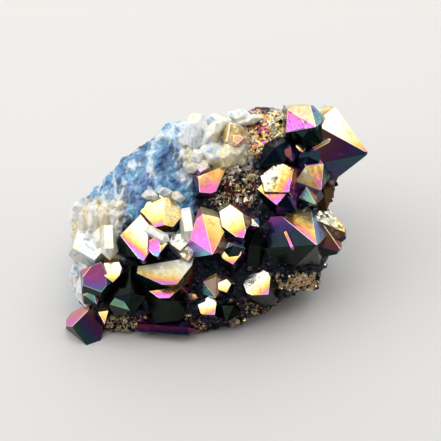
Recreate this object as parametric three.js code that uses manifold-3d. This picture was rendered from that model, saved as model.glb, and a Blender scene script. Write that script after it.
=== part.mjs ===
// Aura quartz cluster: quartz crystals with a metal film, grown together on a rough milky base.
// Everything is one solid, cut off flat underneath. Millimetres, +Z up.
import * as THREE from 'three';
import { ConvexGeometry } from 'three/addons/geometries/ConvexGeometry.js';
import { mergeVertices } from 'three/addons/utils/BufferGeometryUtils.js';
import Module from 'manifold-3d';

const wasm = await Module();
wasm.setup();

// The crystals stand on one sloping side of the base. Their places are given on that slope:
// u runs to the right, v up the slope and w straight out of it, from the middle of the cluster.
const slopeAngle = 45;
const middleHeight = 19;
const middleX = 1.163;
const middleY = -3.04;

// A quartz tip face's normal stands at this angle to the crystal's long axis.
const tipFaceAngle = 51.8;

// The milky base: its outline seen square to the slope, how far it bulges out and back,
// and how blunt its rim is.
const baseOutline = [
  [-37, 4], [-32.5, 6.5], [-28, 11.5], [-21.5, 17.5], [-17.5, 20], [-13, 24.8], [-8, 25.2],
  [0, 25.5], [6, 27.3], [16, 28], [24, 26], [29, 21], [30, 13], [26.5, 4], [27.5, -8], [24, -15.5],
  [16.5, -19.5], [9.5, -23.5], [0, -26.8], [-18, -28], [-29, -28], [-36, -20], [-37, -10],
];
const baseBulge = 9;
const baseDepth = 24;
const rimBluntness = 0.75;
const baseAround = 34;
const baseRings = 20;
const roughHeight = 0.7;

// One crystal a row: tip u, v, w; lean of its axis from w; heading of that lean in the u-v plane
// (0 right, 90 up the slope); twist about the axis; radius to a side face; length;
// setback of every second tip face; how far the first side face stands out. Then, where a crystal
// has them, more flat faces: lean and heading of the face's normal, and how far the face lies
// beyond the tip (below zero it cuts the tip off).
const frontCrystals = [
  // right edge, pointing right
  [37.2, 16.8, 6.5, 58, -9, 1, 9.2, 15, 0, 0, [70, 96, 10.2], [56, -9, -0.7]],
  [32.8, -3.6, 5, 64, -6, 4, 6.2, 14, 0, 0, [80, 6, -1.4]],
  [30.8, -8.2, 5.5, 60, -35, 0, 5.6, 13, 0, 0, [80, -38, -1.2]],
  [26.6, 2.2, 4.6, 66, -70, 10, 3.4, 13, 0, 0],
  // upper right
  [23.7, 23.2, 13.8, 25, -12, 0, 5.4, 15, 0, 0, [84, 176, 6.9], [84, 92, 5]],
  [16.9, 7, 14, 24, -52, 0, 5.2, 14, 2, 0],
  [25, 7.5, 11.5, 42, -58, 30, 4.1, 12, 0, 0],
  [23.8, 4, 11, 35, -60, 30, 2.9, 10, 0, 0],
  [9.5, 13.5, 10, 62, -150, 0, 3.6, 11, 0, 0],
  [18, 14.5, 11, 38, -70, 10, 2.4, 8, 0, 0],
  [21, 11, 9.5, 62, -100, 30, 3, 10, 0, 0],
  [25.6, 18.6, 11.8, 60, -40, 0, 3.3, 10, 0, 0],
  [27.4, 20.2, 12.2, 80, 29, 0, 0.45, 5, 0, 0],
  [20, 19.5, 9.5, 25, -60, 0, 1.9, 6, 0.5, 0],
  [20.5, 17, 9.5, 25, -75, 0, 1.7, 6, 0.5, 0],
  // the large dark crystal at the right and its neighbours
  [23.8, -6.1, 15, 25, -18, 0, 10, 19, 0, 0, [80, -11, 1.2], [80, -104, 5], [82, 97, 7.4]],
  [18.1, -7.4, 12.8, 71, -66, 0, 0.55, 5.2, 0, 0],
  [19, 2, 12, 62, -40, 0, 3.2, 11, 0, 0],
  [9, -2, 10.8, 60, 84, 0, 2.6, 13, 0, 0],
  [9.6, -1.6, 13, 35, -30, 0, 1.6, 7, 0, 0],
  // middle
  [-2, -8.4, 16.5, 28, -76, 30, 6.4, 15, 0, 0, [84, 162, 6.1]],
  [5.7, -4.3, 15.5, 26, -58, 0, 4.4, 14, 0.6, 1.6],
  [3.1, -6, 14.4, 22, 95, 0, 2.6, 10, 0, 0],
  [3.1, -10.9, 13.6, 27, -80, 0, 3.6, 10, 1, 0],
  [-5.2, 7, 13, 28, -135, 0, 3.4, 12, 1, 3.2],
  [-7.4, -5.6, 12, 62, -82, 0, 1.9, 9, 0, 0],
  [-10, -7.5, 12, 22, -85, 0, 3, 9, 1, 0],
  [-8, -10, 12, 30, -80, 0, 2.4, 9, 0.6, 0],
  [-12.5, -5.2, 12.7, 68, -28, 0, 1.15, 7, 0, 0],
  // upper middle, hardly filmed
  [-5, 12, 11, 28, -100, 0, 2.2, 8, 0.6, 0],
  // left
  [-19, -10, 13, 33, -72, 0, 6, 15, 0.5, 1.3, [84, 135, 8.4]],
  [-15.5, -9, 13, 30, -75, 10, 3.1, 10, 0.4, 0],
  [-29.8, -10.3, 9.8, 45, 80, -14, 4.4, 9, 0.9, 0],
  [-26.8, -15.4, 10.6, 30, -85, 0, 3.3, 9, 0.8, 0],
  [-31.4, -9.9, 9.6, 20, -80, 0, 5.8, 11, 2.4, 0],
  [-27.5, -10, 10.3, 62, -86, 0, 1.9, 9, 0, 0],
  [-34, -22, 4.5, 74, -93, 20, 2.6, 15, 0, 0],
  [-37, -17, 2, 62, -112, 0, 2, 8, 0, 0],
  // lower left
  [-37.3, -26.6, 6, 32, 176, 0, 5.2, 13, 2.2, 0, [84, 176, 1.3], [80, -8, 7]],
  [-22.5, -24.5, 8, 70, -90, 30, 4, 15, 0, 0],
  [-22.5, -22.5, 9.8, 35, -36, 0, 3.3, 9, 0, 0],
  [-31, -21, 8, 40, -55, 0, 2.3, 7, 0, 0],
  [-29, -26, 7.5, 30, -90, 10, 2.2, 7, 0, 0],
  // lower middle
  [-11.8, -17, 14.5, 17, -76, 0, 9, 17, 3.5, 0, [82, 100, 6.2], [80, -8, 3.2], [68, -92, -1.4]],
  [-13.8, -20.2, 13.6, 20, -86, 0, 9, 16, 6.5, 0, [82, 98, 2.9], [80, -5, 4.6], [72, -90, -1.1]],
  [-13.3, -19.9, 12.4, 4, 90, 0, 8, 18, 0, 0],
  [-1.2, -19.2, 11, 34, -85, 20, 3.1, 9, 0, 0],
  [1.6, -17.9, 11.2, 28, -75, 10, 2.1, 8, 0.8, 0],
  [-1.5, -23.5, 9, 30, -50, 0, 3, 9, 1, 0],
  [1.5, -25.5, 8, 38, -100, 10, 2.7, 8, 0, 0],
  [11.9, -18.4, 10.8, 24, -47, 0, 4.6, 12, 1.4, 0],
  [-5.8, -27.4, 5, 84, -4, 20, 1.7, 15, 0, 0],
  // the blunt crystal left of the middle: a sloping fracture has taken its tip
  [-13.9, -4, 13, 28, -88, 30, 6.8, 14, 0, 0, [60, -90, -3]],
];

// Crystals on the back and the ends, standing square out of the base. One a row: place on the base
// as an angle around the slope and a rise (-90 is straight behind), twist, and radius.
const backCrystals = [
  [10, -34, 10, 4.6], [26, -30, 0, 5], [43, -33, 15, 5.4], [61, -40, 0, 4.6], [79, -36, 20, 4],
  [97, -42, 5, 4.4], [-9, -40, 0, 4], [-24, -30, 10, 3.6], [30, -54, 20, 4.6], [70, -60, 0, 5.2],
  [8, -60, 15, 4.2], [112, -60, 0, 4.4], [128, -44, 10, 3.8], [150, -54, 0, 3.4],
  [172, -38, 20, 4.2], [189, -28, 0, 3.4], [52, -74, 10, 3.6],
];

// Blocks of pale quartz between the crystals: middle u, v, w; half length, half width and half
// thickness; heading of the long side.
const paleBlocks = [
  // upper middle
  [5.1, 26, 4.6, 2.8, 1.6, 2.3, -8],
  [6.9, 25.1, 5.6, 2.9, 1.1, 1.8, 10],
  [-1.9, 22.2, 7, 4.2, 2.1, 3, 45],
  [3.5, 20.5, 7.2, 3.7, 2.8, 3.2, 75],
  [4, 19.9, 9.6, 1.8, 1.4, 1.4, 0],
  [2.1, 16.3, 8.4, 3.8, 2.6, 3.1, 25],
  [-2.4, 17, 7.8, 3.3, 2.6, 3.1, -30],
  [-5.6, 15.9, 8.2, 2, 1.7, 2.4, 60],
  [-6.9, 13.1, 8.4, 1.8, 1.4, 2.4, 20],
  [-5.9, 22.2, 6, 4.2, 2.8, 3.1, 75],
  [-1.4, 24.6, 4.2, 3.1, 1.9, 2.6, 0],
  // above the broken crystal
  [-17.6, 6.3, 8.4, 1.9, 1.1, 1.6, 10],
  [-13.9, 7.1, 8.8, 1.8, 1.2, 1.6, -10],
  [-10.6, 6, 9, 1.8, 1.2, 1.6, -30],
  // left
  [-34.4, -1.2, 3.2, 3.7, 1.3, 2, 92],
  [-31.9, -0.4, 4.4, 4.2, 1.4, 2.2, 85],
  [-29.2, 0.2, 5.6, 3.5, 1.4, 2.2, 96],
  [-33.2, -6.2, 4.4, 3.3, 1.7, 2.2, 80],
  [-30.4, -5.6, 5.8, 3.5, 1.5, 2.2, 94],
  [-28, -4.6, 6.6, 3.3, 1.3, 2.2, 88],
  [-35.4, 2.6, 2, 3.1, 2.1, 2.4, 60],
  [-36.2, -14.5, 2, 3.5, 1.7, 2.4, 95],
];

// Broken lumps and pits of milky quartz where the base is bare: the upper left and the back.
// Size from and to, and how deep the middle lies, in sizes; a pit's middle lies outside.
const lumps = { count: 58, size: [3.2, 5.6], sunkFront: 0.66, sunkBack: 0.4 };
const pits = { count: 20, size: [1.8, 3.4], sunkFront: -0.5, sunkBack: -0.35 };

// The crust of small crystals between the large ones.
const crustCount = 78;
const crustRadius = [0.8, 1.9];

// Numbers from 0 to 1 that come out alike each time.
function randomSource(seed) {
  let state = seed;
  return () => {
    state = (state * 16807) % 2147483647;
    return state / 2147483647;
  };
}

// A closed three.js geometry as a solid that can be joined and cut.
function solidOf(geometry) {
  geometry.deleteAttribute('normal');
  geometry.deleteAttribute('uv');
  const merged = mergeVertices(geometry, 1e-4);
  return new wasm.Manifold(new wasm.Mesh({
    numProp: 3,
    vertProperties: new Float32Array(merged.attributes.position.array),
    triVerts: new Uint32Array(merged.index.array),
  }));
}

// Unit vector that leans away from w by one angle, toward a heading in the u-v plane.
function direction(leanDegrees, headingDegrees) {
  const lean = THREE.MathUtils.degToRad(leanDegrees);
  const heading = THREE.MathUtils.degToRad(headingDegrees);
  return new THREE.Vector3(
    Math.sin(lean) * Math.cos(heading),
    Math.sin(lean) * Math.sin(heading),
    Math.cos(lean),
  );
}

// The convex body behind a set of planes, from every corner where three of them meet.
function bodyBehind(planes) {
  const corners = [];
  const cross = new THREE.Vector3();
  for (let i = 0; i < planes.length; i += 1) {
    for (let j = i + 1; j < planes.length; j += 1) {
      for (let k = j + 1; k < planes.length; k += 1) {
        const [a, b, c] = [planes[i], planes[j], planes[k]];
        const spread = a.normal.dot(cross.crossVectors(b.normal, c.normal));
        if (Math.abs(spread) < 1e-6) continue;
        const corner = new THREE.Vector3();
        corner.addScaledVector(cross.crossVectors(b.normal, c.normal), a.reach);
        corner.addScaledVector(cross.crossVectors(c.normal, a.normal), b.reach);
        corner.addScaledVector(cross.crossVectors(a.normal, b.normal), c.reach);
        corner.divideScalar(spread);
        const inside = planes.every((p) => p.normal.dot(corner) < p.reach + 1e-6);
        const isNew = corners.every((other) => other.distanceTo(corner) > 1e-3);
        if (inside && isNew) corners.push(corner);
      }
    }
  }
  return new ConvexGeometry(corners);
}

// One six-sided crystal: six side faces, six tip faces and a flat foot inside the base.
function crystal(row) {
  const [u, v, w, lean, heading, twist, radius, length, setback, standOut, ...moreFaces] = row;
  const tip = new THREE.Vector3(u, v, w);
  const axis = direction(lean, heading);
  const front = direction(lean - 90, heading);
  front.applyAxisAngle(axis, THREE.MathUtils.degToRad(twist));
  const slant = THREE.MathUtils.degToRad(tipFaceAngle);
  const planes = [];
  for (let k = 0; k < 6; k += 1) {
    const outward = front.clone().applyAxisAngle(axis, k * Math.PI / 3);
    const tipFace = outward.clone().multiplyScalar(Math.sin(slant));
    tipFace.addScaledVector(axis, Math.cos(slant));
    const tipReach = tip.dot(tipFace) + (k % 2 === 1 ? setback : 0);
    planes.push({ normal: tipFace, reach: tipReach });
    const sideReach = tip.dot(outward) + radius + (k === 0 ? standOut : 0);
    planes.push({ normal: outward, reach: sideReach });
  }
  const foot = axis.clone().negate();
  planes.push({ normal: foot, reach: tip.dot(foot) + length });
  for (const [faceLean, faceHeading, beyond] of moreFaces) {
    const normal = direction(faceLean, faceHeading);
    planes.push({ normal, reach: tip.dot(normal) + beyond });
  }
  return solidOf(bodyBehind(planes));
}

// Outline points of the base as angle and distance, in order around the middle.
const rimPoints = baseOutline
  .map(([u, v]) => ({ angle: Math.atan2(v, u), distance: Math.hypot(u, v) }))
  .sort((a, b) => a.angle - b.angle);

// Distance from the middle to the outline at an angle.
function rimDistance(angle) {
  const after = rimPoints.findIndex((p) => p.angle > angle);
  const high = rimPoints[after < 0 ? 0 : after];
  const low = rimPoints[(after < 1 ? rimPoints.length : after) - 1];
  const turn = Math.PI * 2;
  const span = (high.angle - low.angle + turn) % turn;
  const part = ((angle - low.angle + turn) % turn) / span;
  return THREE.MathUtils.lerp(low.distance, high.distance, part);
}

// Point on the base: around is the angle in the u-v plane, rise goes from -90 (back) to 90.
function basePoint(around, rise) {
  const ring = rimDistance(around) * Math.abs(Math.cos(rise)) ** rimBluntness;
  const out = Math.sin(rise) * (rise > 0 ? baseBulge : baseDepth);
  const point = new THREE.Vector3(ring * Math.cos(around), ring * Math.sin(around), out);
  const wave = Math.sin(point.x * 0.9 + point.z * 0.5) * Math.cos(point.y * 0.8 - point.z * 0.4);
  const ripple = Math.sin(point.x * 1.9 - point.y * 1.3) * Math.cos(point.z * 1.7 + point.y);
  return point.addScaledVector(point.clone().normalize(), roughHeight * (wave + 0.6 * ripple));
}

// The milky base as a bent sphere whose poles point out of the slope and behind it.
function milkyBase() {
  const geometry = new THREE.SphereGeometry(1, baseAround, baseRings);
  geometry.rotateX(Math.PI / 2);
  const position = geometry.attributes.position;
  for (let i = 0; i < position.count; i += 1) {
    const spot = new THREE.Vector3().fromBufferAttribute(position, i);
    const around = Math.atan2(spot.y, spot.x);
    const rise = Math.asin(THREE.MathUtils.clamp(spot.z, -1, 1));
    const point = basePoint(around, rise);
    position.setXYZ(i, point.x, point.y, point.z);
  }
  return solidOf(geometry);
}

// Straight out of the base at a point on it.
function outwardAt(point, around) {
  const across = rimDistance(around) ** 2;
  const through = (point.z > 0 ? baseBulge : baseDepth) ** 2;
  return new THREE.Vector3(point.x / across, point.y / across, point.z / through).normalize();
}

// Whether a point of the base is left bare of crystals.
function isBare(point) {
  const upperLeft = point.x < -6 && point.y > -2 - (point.x + 18) * 0.4;
  const left = point.x < -24.5 && point.y > -10.5;
  const upperMiddle = point.x < 7 && point.y > 13.5;
  return upperLeft || left || upperMiddle || point.z < -8;
}

// An angular lump, turned any way.
function lump(centre, size, random) {
  const geometry = new THREE.IcosahedronGeometry(size, 0);
  geometry.scale(1, 0.7 + 0.3 * random(), 0.6 + 0.3 * random());
  geometry.rotateX(random() * Math.PI);
  geometry.rotateZ(random() * Math.PI);
  geometry.translate(centre.x, centre.y, centre.z);
  return solidOf(geometry);
}

// A block of pale quartz.
function block([u, v, w, halfLength, halfWidth, halfThickness, heading]) {
  const geometry = new THREE.IcosahedronGeometry(1, 0);
  geometry.scale(halfLength, halfWidth, halfThickness);
  geometry.rotateZ(THREE.MathUtils.degToRad(heading));
  geometry.translate(u, v, w);
  return solidOf(geometry);
}

// Lumps scattered over the bare parts of the base.
function scattered({ count, size, sunkFront, sunkBack }, random) {
  const solids = [];
  while (solids.length < count) {
    const around = (random() * 2 - 1) * Math.PI;
    const rise = Math.asin(random() * 1.9 - 0.95);
    const point = basePoint(around, rise);
    const radius = THREE.MathUtils.lerp(size[0], size[1], random());
    const depth = radius * (point.z > -4 ? sunkFront : sunkBack);
    const centre = point.clone().addScaledVector(outwardAt(point, around), -depth);
    if (isBare(point)) solids.push(lump(centre, radius, random));
  }
  return solids;
}

// A crystal row for a crystal whose foot is on the base.
function standingRow(around, rise, stand, twist, radius, jitter) {
  const foot = basePoint(around, rise);
  const outward = outwardAt(foot, around).add(jitter).normalize();
  const lean = THREE.MathUtils.radToDeg(Math.acos(outward.z));
  const heading = THREE.MathUtils.radToDeg(Math.atan2(outward.y, outward.x));
  const tip = foot.addScaledVector(outward, stand);
  return [tip.x, tip.y, tip.z, lean, heading, twist, radius, radius + 2 * stand, 0, 0];
}

// Small crystals that stand any way out of the base where it is not bare.
function crust(random) {
  const rows = [];
  while (rows.length < crustCount) {
    const around = (random() * 2 - 1) * Math.PI;
    const rise = Math.asin(0.15 + random() * 0.85);
    const radius = THREE.MathUtils.lerp(crustRadius[0], crustRadius[1], random() ** 2);
    const jitter = new THREE.Vector3(random() - 0.5, random() - 0.5, random() - 0.5);
    const row = standingRow(around, rise, radius * 1.3, random() * 60, radius, jitter);
    if (!isBare(basePoint(around, rise))) rows.push(row);
  }
  return rows;
}

const random = randomSource(417);

let cluster = milkyBase();
for (const piece of scattered(lumps, random)) {
  cluster = cluster.add(piece);
}
for (const piece of scattered(pits, random)) {
  cluster = cluster.subtract(piece);
}
for (const row of paleBlocks) {
  cluster = cluster.add(block(row));
}
const backRows = backCrystals.map(([around, rise, twist, radius]) => {
  const turn = THREE.MathUtils.degToRad;
  return standingRow(turn(around), turn(rise), radius * 1.1, twist, radius, new THREE.Vector3());
});
for (const row of [...frontCrystals, ...backRows, ...crust(random)]) {
  cluster = cluster.add(crystal(row));
}

// Lean the slope back, then cut the foot off flat.
const joined = cluster.getMesh();
const leaning = new THREE.BufferGeometry();
leaning.setAttribute('position', new THREE.BufferAttribute(new Float32Array(joined.vertProperties), 3));
leaning.setIndex(new THREE.BufferAttribute(new Uint32Array(joined.triVerts), 1));
leaning.rotateX(THREE.MathUtils.degToRad(slopeAngle));
leaning.translate(middleX, middleY, middleHeight);
const below = new THREE.BoxGeometry(200, 200, 100).translate(0, 0, -50);
const trimmed = solidOf(leaning).subtract(solidOf(below)).getMesh();

const geometry = new THREE.BufferGeometry();
geometry.setAttribute('position', new THREE.BufferAttribute(new Float32Array(trimmed.vertProperties), 3));
geometry.setIndex(new THREE.BufferAttribute(new Uint32Array(trimmed.triVerts), 1));
geometry.computeVertexNormals();

const material = new THREE.MeshStandardMaterial({
  color: '#8f8496', roughness: 0.22, metalness: 0.75, flatShading: true,
});
const quartz = new THREE.Mesh(geometry, material);
quartz.name = 'quartz_cluster';

const group = new THREE.Group();
group.add(quartz);
export default group;
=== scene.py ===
import random
import bpy
import bmesh
from math import acos, asin, atan2, cos, degrees, hypot, pi, radians, sin, tau
from mathutils import Matrix, Vector, noise
from mathutils.bvhtree import BVHTree


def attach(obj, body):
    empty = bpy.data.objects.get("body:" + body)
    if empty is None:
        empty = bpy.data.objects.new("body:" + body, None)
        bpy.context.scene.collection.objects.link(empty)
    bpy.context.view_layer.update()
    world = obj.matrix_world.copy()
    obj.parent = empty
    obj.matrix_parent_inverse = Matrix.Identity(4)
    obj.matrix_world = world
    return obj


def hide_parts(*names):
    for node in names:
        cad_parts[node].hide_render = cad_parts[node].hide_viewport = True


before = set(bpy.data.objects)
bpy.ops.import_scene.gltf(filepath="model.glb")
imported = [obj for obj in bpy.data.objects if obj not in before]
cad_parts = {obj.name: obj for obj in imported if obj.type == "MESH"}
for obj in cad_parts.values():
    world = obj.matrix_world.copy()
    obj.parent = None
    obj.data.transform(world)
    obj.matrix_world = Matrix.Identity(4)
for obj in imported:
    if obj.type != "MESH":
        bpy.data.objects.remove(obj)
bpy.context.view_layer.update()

# Aura quartz cluster: filmed quartz crystals on a rough milky base.
# Crystals are placed on the sloping side: u right, v up the slope, w straight out of it, in mm.
slope = {"angle": 45, "middle": (1.163, -3.04, 19), "mm": 0.001}
slopeFrame = (
    Matrix.Translation(Vector(slope["middle"]) * slope["mm"])
    @ Matrix.Rotation(radians(slope["angle"]), 4, "X")
    @ Matrix.Scale(slope["mm"], 4)
)
toWorldTurn = slopeFrame.to_3x3().normalized()
floorNormal = toWorldTurn.transposed() @ Vector((0, 0, 1))
floorReach = -slope["middle"][2]
chance = random.Random(417)


def tint(code):
    parts = [int(code[i:i + 2], 16) / 255 for i in (0, 2, 4)]
    return [p / 12.92 if p < 0.04045 else ((p + 0.055) / 1.055) ** 2.4 for p in parts] + [1]


filmLook = {
    # thin film where no shade is painted: silver, cream, gold, orange, pink, lilac, blue, cyan, green
    "pale": [
        (0, "F6F5F0"), (0.17, "F6ECC6"), (0.34, "F0CE6E"), (0.46, "E89C58"), (0.56, "EC6CAC"),
        (0.68, "D478EC"), (0.79, "969EF2"), (0.9, "70CCD4"), (1, "A6D88E"),
    ],
    # painted shade, the film darkened: brown, wine, plum, violet, indigo, teal, green, nearly black
    "paintedShade": [
        (0, "4A3A1A"), (0.12, "5E3212"), (0.26, "701632"), (0.4, "641258"), (0.54, "301656"),
        (0.66, "101A34"), (0.79, "08222A"), (0.91, "0A1E16"), (1, "0A0C08"),
    ],
    # quartz with hardly any film
    "milk": [
        (0.3, "9CB8D0"), (0.42, "E4ECF0"), (0.54, "FCFBF6"), (0.66, "F6E8C0"), (0.8, "EED28A"),
    ],
}


def newMaterial(name):
    material = bpy.data.materials.new(name)
    material.use_nodes = True
    tree = material.node_tree
    return material, tree, tree.nodes["Principled BSDF"]


def feed(tree, node, inputs):
    for key, value in inputs.items():
        if isinstance(value, bpy.types.NodeSocket):
            tree.links.new(value, node.inputs[key])
        else:
            node.inputs[key].default_value = value


def addNode(tree, kind, inputs=None, **settings):
    node = tree.nodes.new("ShaderNode" + kind)
    for key, value in settings.items():
        setattr(node, key, value)
    feed(tree, node, inputs or {})
    return node


def calc(tree, operation, a, b=0.0, clamp=False):
    settings = {"operation": operation, "use_clamp": clamp}
    return addNode(tree, "Math", {0: a, 1: b}, **settings).outputs[0]


def plus(tree, a, b, clamp=False):
    return calc(tree, "ADD", a, b, clamp)


def minus(tree, a, b, clamp=False):
    return calc(tree, "SUBTRACT", a, b, clamp)


def times(tree, a, b):
    return calc(tree, "MULTIPLY", a, b)


def between(tree, low, high, part):
    return plus(tree, low, times(tree, minus(tree, high, low), part))


def within(tree, part, low, high):
    return plus(tree, times(tree, part, high - low), low)


def blend(tree, a, b, share):
    return plus(tree, times(tree, a, share), times(tree, b, 1 - share))


def mixColour(tree, factor, a, b):
    return addNode(tree, "Mix", {0: factor, 6: a, 7: b}, data_type="RGBA").outputs[2]


def tinted(tree, colour, mask, amount, code):
    return mixColour(tree, times(tree, mask, amount), colour, tint(code))


def colourRamp(tree, source, stops):
    node = addNode(tree, "ValToRGB", {0: source})
    elements = node.color_ramp.elements
    for element, (place, code) in zip(elements, (stops[0], stops[-1])):
        element.position, element.color = place, tint(code)
    for place, code in stops[1:-1]:
        elements.new(place).color = tint(code)
    return node.outputs[0]


def noiseOf(tree, place, scale, detail=3, distortion=0.0):
    inputs = {"Vector": place, "Scale": scale, "Detail": detail, "Distortion": distortion}
    return addNode(tree, "TexNoise", inputs).outputs[0]


def spread(tree, source, low, high):
    inputs = {"Value": source, "From Min": low, "From Max": high}
    return addNode(tree, "MapRange", inputs).outputs[0]


def attribute(tree, name, output="Fac"):
    return addNode(tree, "Attribute", attribute_name=name).outputs[output]


def vectorMath(tree, operation, a, b):
    return addNode(tree, "VectorMath", {0: a, 1: b}, operation=operation).outputs


def partsOf(tree, vector):
    return addNode(tree, "SeparateXYZ", {0: vector}).outputs


def bumpOf(tree, heights):
    inputs = {"Height": heights, "Distance": slope["mm"]}
    return addNode(tree, "Bump", inputs).outputs[0]


def newGroup(name, inputs, outputs):
    group = bpy.data.node_groups.new(name, "ShaderNodeTree")
    for side, sockets in (("INPUT", inputs), ("OUTPUT", outputs)):
        for label, kind in sockets.items():
            group.interface.new_socket(label, in_out=side, socket_type="NodeSocket" + kind)
    return group, group.nodes.new("NodeGroupInput").outputs


def makeFilmGroup():
    group, given = newGroup("filmColour", {"Film": "Float", "PaintedShade": "Float"}, {"Color": "Color"})
    pale, paintedShade = (colourRamp(group, given["Film"], filmLook[kind]) for kind in ("pale", "paintedShade"))
    # mix in the darkened copy of the film, the painted shade
    colour = mixColour(group, given["PaintedShade"], pale, paintedShade)
    feed(group, group.nodes.new("NodeGroupOutput"), {"Color": colour})
    return group


def makeCrumpleGroup():
    # small flat facets, each tilted its own way: their height in mm and a shade for each
    group, given = newGroup(
        "crumple", {"Place": "Vector", "Scale": "Float"}, {"Height": "Float", "Shade": "Float"},
    )
    place, middleGrey = given["Place"], (0.5, 0.5, 0.5)
    inputs = {"Vector": place, "Scale": given["Scale"]}
    cells = addNode(group, "TexVoronoi", inputs).outputs
    offset = vectorMath(group, "SUBTRACT", place, cells["Position"])[0]
    tilt = vectorMath(group, "SUBTRACT", cells["Color"], middleGrey)[0]
    slant = vectorMath(group, "DOT_PRODUCT", offset, tilt)["Value"]
    height, shade = calc(group, "DIVIDE", slant, slope["mm"]), partsOf(group, cells["Color"])[0]
    feed(group, group.nodes.new("NodeGroupOutput"), {"Height": height, "Shade": shade})
    return group


filmGroup = makeFilmGroup()
crumpleGroup = makeCrumpleGroup()


def filmColour(tree, film, paintedShade):
    inputs = {"Film": film, "PaintedShade": paintedShade}
    return addNode(tree, "Group", inputs, node_tree=filmGroup).outputs[0]


def crumple(tree, place, scale):
    inputs = {"Place": place, "Scale": scale}
    return addNode(tree, "Group", inputs, node_tree=crumpleGroup).outputs


# heights are in mm; a noise is given by its scale, detail and distortion
crystalFinish = {
    "metallic": 0.9, "milkDulls": 0.81, "coat": 0.1, "coatRoughness": 0.06,
    "wideNoise": (240, 3, 0.3), "filmDrift": 0.2, "fineNoise": (1900, 4), "fineDrift": 0.07,
    "stainNoise": (620, 4, 0.6), "stainFromTo": (0.56, 0.7), "stain": 0.13,
    "cloudNoise": (380, 5, 0.8), "roughness": (0.08, 0.32), "milkRoughness": 0.18,
    "striae": 0.03, "striaeStretch": (0.15, 0.15, 6.0), "waves": 0.06,
    "stepNoise": (300, 1, 0.6), "steps": 9.0, "stepEase": 8.0, "terraces": 0.02,
    "crumpleScale": 1100, "crumple": 0.9,
}


def makeCrystalMaterial():
    material, tree, shader = newMaterial("filmedQuartz")
    look = crystalFinish
    # path: how far along the face, film at its start, film at its end; tone: painted shade, bend, milk
    along, first, last = partsOf(tree, attribute(tree, "path", "Vector"))
    paintedShade, bend, milk = partsOf(tree, attribute(tree, "tone", "Vector"))
    place = addNode(tree, "TexCoord").outputs["Object"]
    wide, fine, stains, clouds, ledges = (
        noiseOf(tree, place, *look[name + "Noise"])
        for name in ("wide", "fine", "stain", "cloud", "step")
    )
    film = between(tree, first, last, calc(tree, "POWER", along, bend))
    drift = times(tree, minus(tree, wide, 0.5), look["filmDrift"])
    fineDrift = times(tree, minus(tree, fine, 0.5), look["fineDrift"])
    stained = spread(tree, stains, *look["stainFromTo"])
    drifts = plus(tree, fineDrift, times(tree, stained, look["stain"]))
    film = plus(tree, plus(tree, film, drift), drifts, clamp=True)
    cloudy = colourRamp(tree, clouds, filmLook["milk"])
    colour = mixColour(tree, milk, filmColour(tree, film, paintedShade), cloudy)
    metal = minus(tree, look["metallic"], times(tree, milk, look["milkDulls"]))
    metal = minus(tree, metal, attribute(tree, "hazy"), clamp=True)
    rough = within(tree, fine, *look["roughness"])
    rough = plus(tree, rough, times(tree, milk, look["milkRoughness"]))
    # growth lines run across the side faces, square to the crystal's long axis
    grain = {"Vector": attribute(tree, "grain", "Vector"), "Scale": look["striaeStretch"]}
    stretched = addNode(tree, "Mapping", grain).outputs[0]
    striae = times(tree, attribute(tree, "side"), look["striae"])
    lines = times(tree, noiseOf(tree, stretched, 1.0), striae)
    # low terraces, as on grown faces
    steps = times(tree, ledges, look["steps"])
    riser = calc(tree, "POWER", calc(tree, "FRACT", steps), look["stepEase"])
    terraces = times(tree, plus(tree, calc(tree, "FLOOR", steps), riser), look["terraces"])
    waves = times(tree, wide, look["waves"])
    folds, _ = crumple(tree, place, look["crumpleScale"])
    folds = times(tree, folds, times(tree, attribute(tree, "crumpled"), look["crumple"]))
    heights = plus(tree, plus(tree, lines, terraces), plus(tree, waves, folds))
    feed(tree, shader, {
        "Base Color": colour, "Metallic": metal, "Roughness": rough,
        "Normal": bumpOf(tree, heights),
        "Coat Weight": look["coat"], "Coat Roughness": look["coatRoughness"],
    })
    return material


baseFinish = {
    "cloudNoise": (150, 4, 0.6), "streakNoise": (300, 4, 1.0), "fineNoise": (1300, 3),
    "streakStretch": (1.0, 0.42, 1.0), "streakTurn": 0.4,
    # bare milky quartz: deep blue, blue, lavender, cyan, blue, white
    "milk": [
        (0.32, "124668"), (0.42, "2A72A6"), (0.47, "7690CC"), (0.52, "70BAD6"), (0.57, "4A90BE"),
        (0.65, "DDEAF2"),
    ],
    # veins: where in the streaks they begin and are full, how strong, colour
    "veins": [(0.52, 0.61, 0.9, "E8F4F6"), (0.48, 0.37, 0.8, "28669A")],
    # painted shade in the hollows: dark blue
    "pits": (0.85, "17406E"),
    # where a little film lies on it: tan, gold, cream, white
    "gilt": [
        (0.28, "7E6A34"), (0.38, "DDB14C"), (0.44, "F6E6A8"), (0.51, "F2F2EC"), (0.6, "FEFDF8"),
    ],
    # brown painted shade in the hollows of the gilt
    "giltStreaks": 0.6, "giltHollowShade": (0.8, "5A3E14"),
    # under the crust: film darkened nearly to black, painted shade between the crust crystals
    "filmFrom": 0.42, "filmSpread": 0.7, "paintedShadeFromTo": (0.66, 0.5), "dark": (0.9, "0C1014"),
    "metallic": 0.6, "bareDulls": 0.56, "coat": 0.7, "coatRoughness": 0.12,
    "roughness": (0.25, 0.55), "streaks": 0.5, "sugarScale": 1500, "sugar": 0.12,
    # crumpled druse
    "foilScale": 1000, "foilHeight": 1.0, "foilShine": 0.1, "foilSmooths": 0.15,
    "patchScale": 420, "patchShare": 0.45, "glowHelps": 0.2, "litFromTo": (0.62, 0.56),
}


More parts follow.
